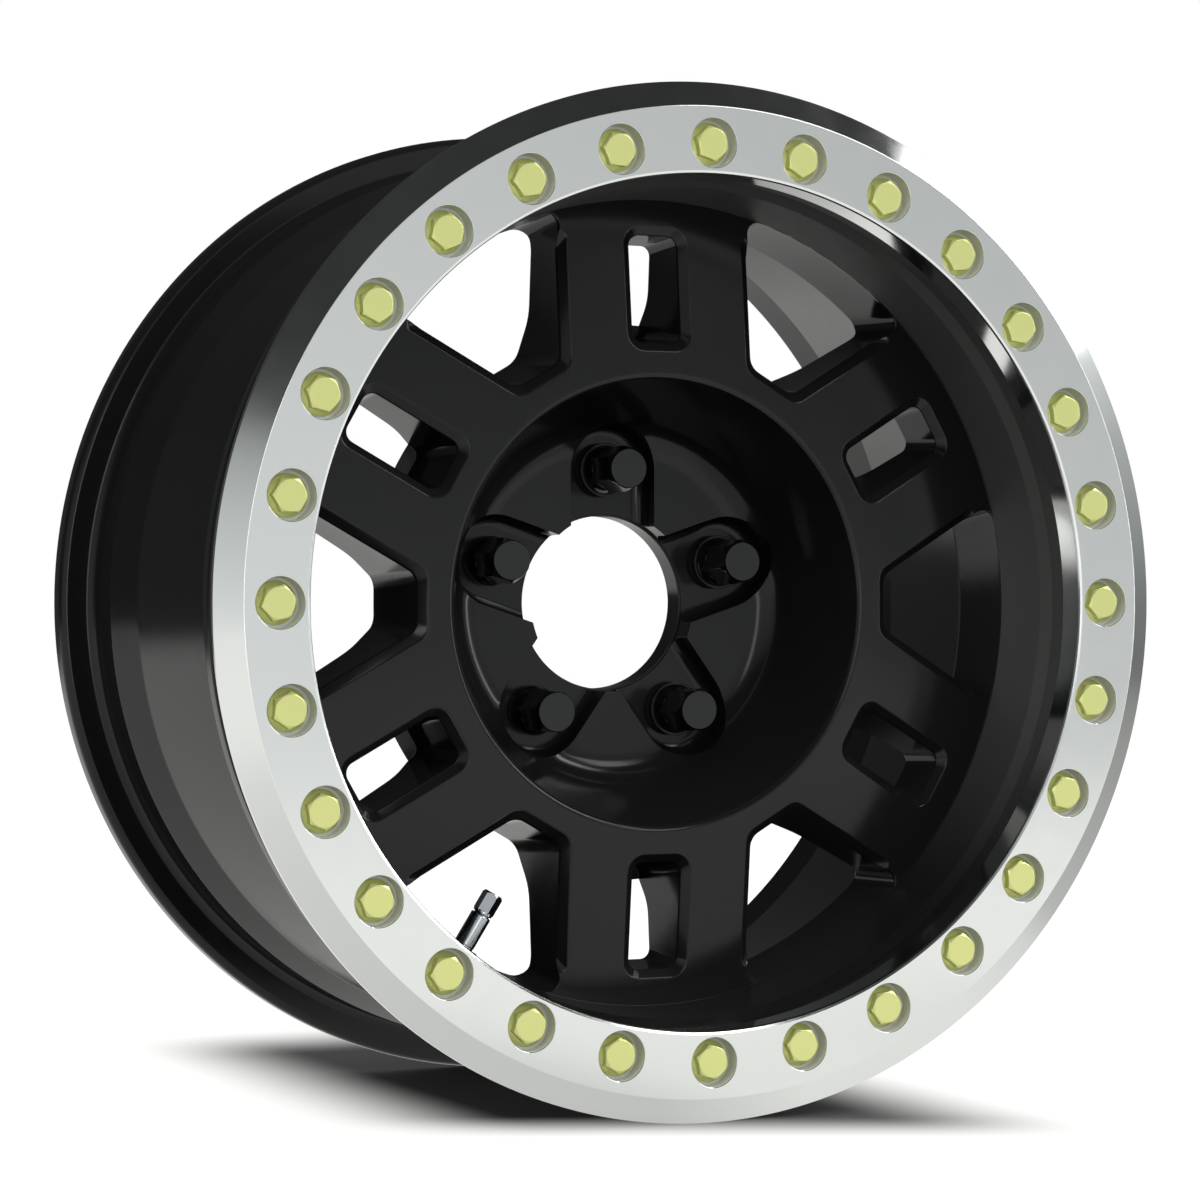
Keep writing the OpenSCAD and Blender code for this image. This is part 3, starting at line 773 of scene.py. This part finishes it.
class WHEEL_OT_lug_nuts(bpy.types.Operator):
    """Model one closed bulge nut and copy it around the stud circle"""
    bl_idname = "wheel.lug_nuts"
    bl_label = "Wheel Nuts"

    def execute(self, context):
        head = hex_prism("head", 19, 3, 34)
        limit = turned("limit", [(0, 2.5), (13, 2.5), (13, 22.5), (9.7, 29.6), (9.45, 30.4), (9.0, 31),
                                 (0, 31)], 48)
        cut(head, limit, "INTERSECT")
        base = turned("base", [(0, -4.3), (8, -4.3), (10.7, 0.4), (11.6, 0.45), (11.9, 0.8), (11.9, 5.6),
                               (11.6, 6.6), (10.9, 8.2), (10.3, 9.6), (9.7, 10.4), (0, 10.4)], 56)
        nut = cut(base, head, "UNION")
        bore = turned("bore", [(0, -10), (5.8, -10), (5.8, 25), (1, 28), (0, 28)], 32)
        cut(nut, bore)
        for i, copy in enumerate(around(nut, LUGS, 90, LUG_R, z(121))):
            finish_piece(copy, f"wheel_nut_{i + 1}", finish_of("nuts"), "wheel", "black_chrome", "lug_nuts")
        return {"FINISHED"}


# The valve

def thread(outer, root, low, high, pitch):
    """Profile points of a run of thread, drawn as close rings."""
    count = int((high - low) / pitch)
    points = []
    for i in range(count):
        base = low + i * pitch
        points += [(root, base), (outer, base + 0.35 * pitch), (outer, base + 0.6 * pitch)]
    return points + [(root, low + count * pitch)]


class WHEEL_OT_valve(bpy.types.Operator):
    """Model the metal clamp-in valve with its nut and cap"""
    bl_idname = "wheel.valve"
    bl_label = "Tyre Valve"

    def execute(self, context):
        stem = [(1.4, -13.2), (8.1, -13.2), (8.5, -12.8), (8.5, -10.5), (8.2, -10.2), (4.7, -10.2),
                (4.7, 5.8), (4.9, 6.0), (4.9, 20.9), (4.7, 21.2), (4.1, 21.4)]
        stem += thread(3.95, 3.6, 21.6, 29.2, 0.8) + [(3.5, 29.9), (2.7, 29.9), (2.7, 11.4), (1.4, 9.9)]
        body = turned("stem", stem, 48, closed=True)
        place(body, valve_frame())
        finish_piece(body, "valve_body", finish_of("valve"), "wheel", "bright_valve", "valve_stem")

        nut = hex_prism("nut", 13.4, 1.2, 4.7)
        limit = turned("limit", [(0, 1.2), (7.1, 1.2), (7.8, 1.7), (7.8, 4.2), (6.9, 4.7), (0, 4.7)], 48)
        cut(nut, limit, "INTERSECT")
        cut(nut, turned("hole", [(0, 0), (4.95, 0), (4.95, 7), (0, 7)], 48))
        place(nut, valve_frame())
        finish_piece(nut, "valve_hex_nut", finish_of("valve"), "wheel", "bright_valve", "valve_nut")

        cap = hex_prism("cap", 8.75, 0.8, 12)
        limit = turned("limit", [(0, 0.9), (4.7, 0.9), (5.06, 1.3), (5.06, 9.6), (4.2, 10.8),
                                 (0, 10.8)], 48)
        cut(cap, limit, "INTERSECT")
        cut(cap, turned("collar", [(0, 0.1), (4.6, 0.1), (4.75, 0.3), (4.75, 1.4), (0, 1.4)], 48), "UNION")
        cut(cap, turned("hollow", [(0, -1), (4, -1), (4, 8.8), (0, 8.8)], 48))
        flats = Matrix.Rotation(math.radians(4), 4, "Z")
        place(cap, valve_frame() @ Matrix.Translation((0, 0, 21.9)) @ flats)
        finish_piece(cap, "valve_dust_cap", finish_of("valve"), "cap", "bright_valve", "valve_cap")
        return {"FINISHED"}


class WHEEL_OT_hidden_parts(bpy.types.Operator):
    """Give the frame's own inner solids their real finishes"""
    bl_idname = "wheel.hidden_parts"
    bl_label = "Inner Parts"

    def execute(self, context):
        finishes = {
            "thread_inserts": "steel", "core_spring": "steel", "core_body": "brass", "core_pin": "brass",
            "core_seat_ring": "plastic", "core_cup": "rubber", "cap_seal": "rubber",
            "valve_base_seal": "rubber", "valve_washer": "valve",
        }
        for name, kind in finishes.items():
            solid = frame["nodes"][name]
            solid.data.materials.clear()
            solid.data.materials.append(finish_of(kind))
        return {"FINISHED"}


# The studio

def ramp(tree, source, low, high, stops):
    """Brightness at positions from 0 to 1 between low and high of a source value."""
    spread = node(tree, "ShaderNodeMapRange", links={"Value": source}, From_Min=low, From_Max=high)
    new = node(tree, "ShaderNodeValToRGB", links={"Fac": spread.outputs["Result"]})
    marks = new.color_ramp.elements
    while len(marks) < len(stops):
        marks.new(1.0)
    for mark, (spot, level) in zip(marks, stops):
        mark.position = spot
        mark.color = (level, level, level, 1)
    return new.outputs["Color"]


def seen_direct(tree, path):
    """1 for what the camera sees, also through glass."""
    return math_node(tree, "MAXIMUM", path.outputs["Is Camera Ray"], path.outputs["Is Transmission Ray"])


def floor_material():
    """Grey paper, matt, shown plain white around the wheel by emission: below it the grey stays, a painted
    shadow with the real one added.
    """
    mat, tree, shader = material("floor_with_painted_shadow", bpy.context.scene.wheel_colours.floor, Roughness=0.9,
                                 **{"Emission Color": (1.0, 1.0, 0.98, 1.0)})
    tree.links.new(speckle(tree, 40, 0.86, 0.94), shader.inputs["Roughness"])
    spot = node(tree, "ShaderNodeSeparateXYZ", links={"Vector": object_spot(tree)})
    x, y = spot.outputs["X"], spot.outputs["Y"]
    path = node(tree, "ShaderNodeLightPath")

    # 1 where the floor is clear of the shadow below the wheel: at its sides, in front and behind.
    # Inside, the grey floor shows through as a painted shadow in this mask's shape, with the wheel's real
    # shadow added.
    side = rise(tree, math_node(tree, "ABSOLUTE", x, 0.0), 0.072, 0.168)
    before = math_node(tree, "ADD", product(tree, x, -0.464), product(tree, y, -1.0))
    painted_shadow = product(tree, inverse(tree, side), inverse(tree, rise(tree, before, 0.09, 0.178)))
    clear = inverse(tree, product(tree, painted_shadow, inverse(tree, rise(tree, y, 0.2, 0.325))))

    # What polished metal mirrors: white on the left and in front, darker on the right and far behind.
    across = ramp(tree, x, -1.0, 2.4, [
        (0, 1.0), (0.35, 0.93), (0.385, 0.8), (0.41, 0.52), (0.47, 0.4), (0.575, 0.3), (0.94, 0.15)])
    across = inverse(tree, product(tree, inverse(tree, across), rise(tree, y, -0.7, -0.25)))
    far = inverse(tree, product(tree, rise(tree, y, 1.3, 3.0), 0.95))
    # Close in front of the wheel, a painted shade dims what metal mirrors, standing in for the wheel's own
    # shade.
    near = ramp(tree, x, -0.6, 0.2, [
        (0, 1.0), (0.16, 0.88), (0.36, 0.8), (0.54, 0.74), (0.72, 0.7), (0.775, 0.85), (0.825, 1.0)])
    close = product(tree, rise(tree, y, -1.0, -0.4), inverse(tree, rise(tree, y, -0.12, 0.0)))
    painted_near_shade = inverse(tree, product(tree, inverse(tree, near), close))
    mirrored = product(tree, product(tree, path.outputs["Is Glossy Ray"], product(tree, across, far)), painted_near_shade)

    seen = math_node(tree, "MAXIMUM", product(tree, clear, seen_direct(tree, path)), mirrored)
    tree.links.new(seen, shader.inputs["Emission Strength"])
    return mat


def studio_world():
    """White for the camera. Metal mirrors the same white low down and in front, under a dark ceiling."""
    world = bpy.data.worlds.new("studio")
    bpy.context.scene.world = world
    world.use_nodes = True
    tree = world.node_tree
    tree.nodes.clear()
    path = node(tree, "ShaderNodeLightPath")
    sky = node(tree, "ShaderNodeTexCoord").outputs["Generated"]
    way = node(tree, "ShaderNodeSeparateXYZ", links={"Vector": sky})
    low_front = ramp(tree, way.outputs["Z"], -0.3, 0.7, [
        (0, 0.98), (0.2, 0.98), (0.3, 0.88), (0.43, 0.72), (0.5, 0.66), (0.6, 0.5), (0.66, 0.36),
        (0.72, 0.1), (0.85, 0.035)])
    front = ramp(tree, way.outputs["Y"], -0.6, 0.1, [(0, 1.0), (1, 0.1)])
    left = node(tree, "ShaderNodeMapRange", links={"Value": way.outputs["X"]},
                From_Min=0.36, From_Max=0.56, To_Min=1.03, To_Max=0.81).outputs["Result"]
    before = product(tree, product(tree, low_front, front), left)
    right = ramp(tree, way.outputs["Z"], -0.3, 0.7, [
        (0, 0.4), (0.2, 0.2), (0.3, 0.23), (0.4, 0.38), (0.5, 0.53), (0.6, 0.85), (0.66, 0.85), (0.8, 0.1)])
    side = product(tree, right, ramp(tree, way.outputs["X"], 0.74, 0.92, [(0, 0), (1, 1)]))
    room = math_node(tree, "MAXIMUM", math_node(tree, "MAXIMUM", before, side), 0.028)
    plain = node(tree, "ShaderNodeBackground", Color=(1, 1, 1, 1), Strength=0.98)
    mirrored = node(tree, "ShaderNodeBackground", links={"Strength": room}, Color=(0.955, 0.99, 1, 1))
    white = node(tree, "ShaderNodeBackground", Color=(1, 1, 1, 1), Strength=1.0)
    glossy = node(tree, "ShaderNodeMixShader", links={"Fac": path.outputs["Is Glossy Ray"]})
    tree.links.new(plain.outputs["Background"], glossy.inputs[1])
    tree.links.new(mirrored.outputs["Background"], glossy.inputs[2])
    mix = node(tree, "ShaderNodeMixShader", links={"Fac": seen_direct(tree, path)})
    tree.links.new(glossy.outputs["Shader"], mix.inputs[1])
    tree.links.new(white.outputs["Background"], mix.inputs[2])
    node(tree, "ShaderNodeOutputWorld", links={"Surface": mix.outputs["Shader"]})


def lamp(name, place_m, target, size, size_y, power, glossy=True):
    """A soft area lamp that looks at the target, in metres and watts."""
    deselect()
    bpy.ops.object.light_add(type="AREA", location=place_m)
    light = bpy.context.object
    light.name = light.data.name = name
    light.data.shape = "RECTANGLE"
    light.data.size = size
    light.data.size_y = size_y
    light.data.energy = power
    light.rotation_euler = (Vector(target) - Vector(place_m)).to_track_quat("-Z", "Y").to_euler()
    light.visible_glossy = glossy
    light.visible_camera = False
    return light


class WHEEL_OT_studio(bpy.types.Operator):
    """Set up the white floor, the soft lamps, the room's reflection and the camera"""
    bl_idname = "wheel.studio"
    bl_label = "Studio"

    def execute(self, context):
        deselect()
        bpy.ops.mesh.primitive_plane_add(size=5.8, location=(0, 0, 0))
        floor = bpy.context.object
        floor.name = floor.data.name = "paper_floor"
        place(floor, Matrix.Translation((-500, 100, FLOOR_Z / MM)))
        floor.data.materials.append(floor_material())
        studio_world()
        lamp("overhead", (0.1, -0.2, 2.2), (0, 0, 0), 2.6, 2.0, 14, glossy=False)
        lamp("right_softbox", (2.08, -0.6, 1.36), (0, 0, 0), 1.75, 1.0, 15)
        lamp("tall_strip", (1.94, -1.41, 1.0), (0, 0, 0), 0.3, 2.6, 15)
        lamp("high_front", (1.19, -1.91, 1.3), (0, 0, 0), 0.5, 0.7, 5.5)
        lamp("front_strip", (-0.52, -2.4, 0.2), (0, 0, 0), 0.34, 1.2, 4)
        deselect()
        bpy.ops.object.camera_add(location=(-0.75115, -1.61699, 0.00116),
                                  rotation=(math.radians(90), 0, math.radians(-24.9078)))
        camera = bpy.context.object
        camera.data.lens = 111.198
        camera.data.sensor_width = 36
        context.scene.camera = camera
        context.scene.view_settings.view_transform = "Standard"
        return {"FINISHED"}


class WHEEL_PT_panel(bpy.types.Panel):
    bl_idname = "WHEEL_PT_panel"
    bl_label = "Beadlock Wheel"
    bl_space_type = "VIEW_3D"
    bl_region_type = "UI"
    bl_category = "Wheel"

    def draw(self, context):
        for group in (context.scene.wheel_sizes, context.scene.wheel_colours):
            for key in group.__annotations__:
                self.layout.prop(group, key)
        for step in STEPS:
            self.layout.operator(step.bl_idname)


STEPS = (WHEEL_OT_studio, WHEEL_OT_casting, WHEEL_OT_ring, WHEEL_OT_ring_bolts, WHEEL_OT_lug_nuts,
         WHEEL_OT_valve, WHEEL_OT_hidden_parts)
CLASSES = (WheelSizes, WheelColours) + STEPS + (WHEEL_PT_panel,)


def register():
    for cls in CLASSES:
        bpy.utils.register_class(cls)
    bpy.types.Scene.wheel_sizes = PointerProperty(type=WheelSizes)
    bpy.types.Scene.wheel_colours = PointerProperty(type=WheelColours)


def unregister():
    del bpy.types.Scene.wheel_colours
    del bpy.types.Scene.wheel_sizes
    for cls in reversed(CLASSES):
        bpy.utils.unregister_class(cls)


def main():
    register()
    bpy.ops.wheel.studio()
    bpy.ops.wheel.casting()
    bpy.ops.wheel.ring()
    bpy.ops.wheel.ring_bolts()
    bpy.ops.wheel.lug_nuts()
    bpy.ops.wheel.valve()
    bpy.ops.wheel.hidden_parts()


if __name__ == "__main__":
    main()
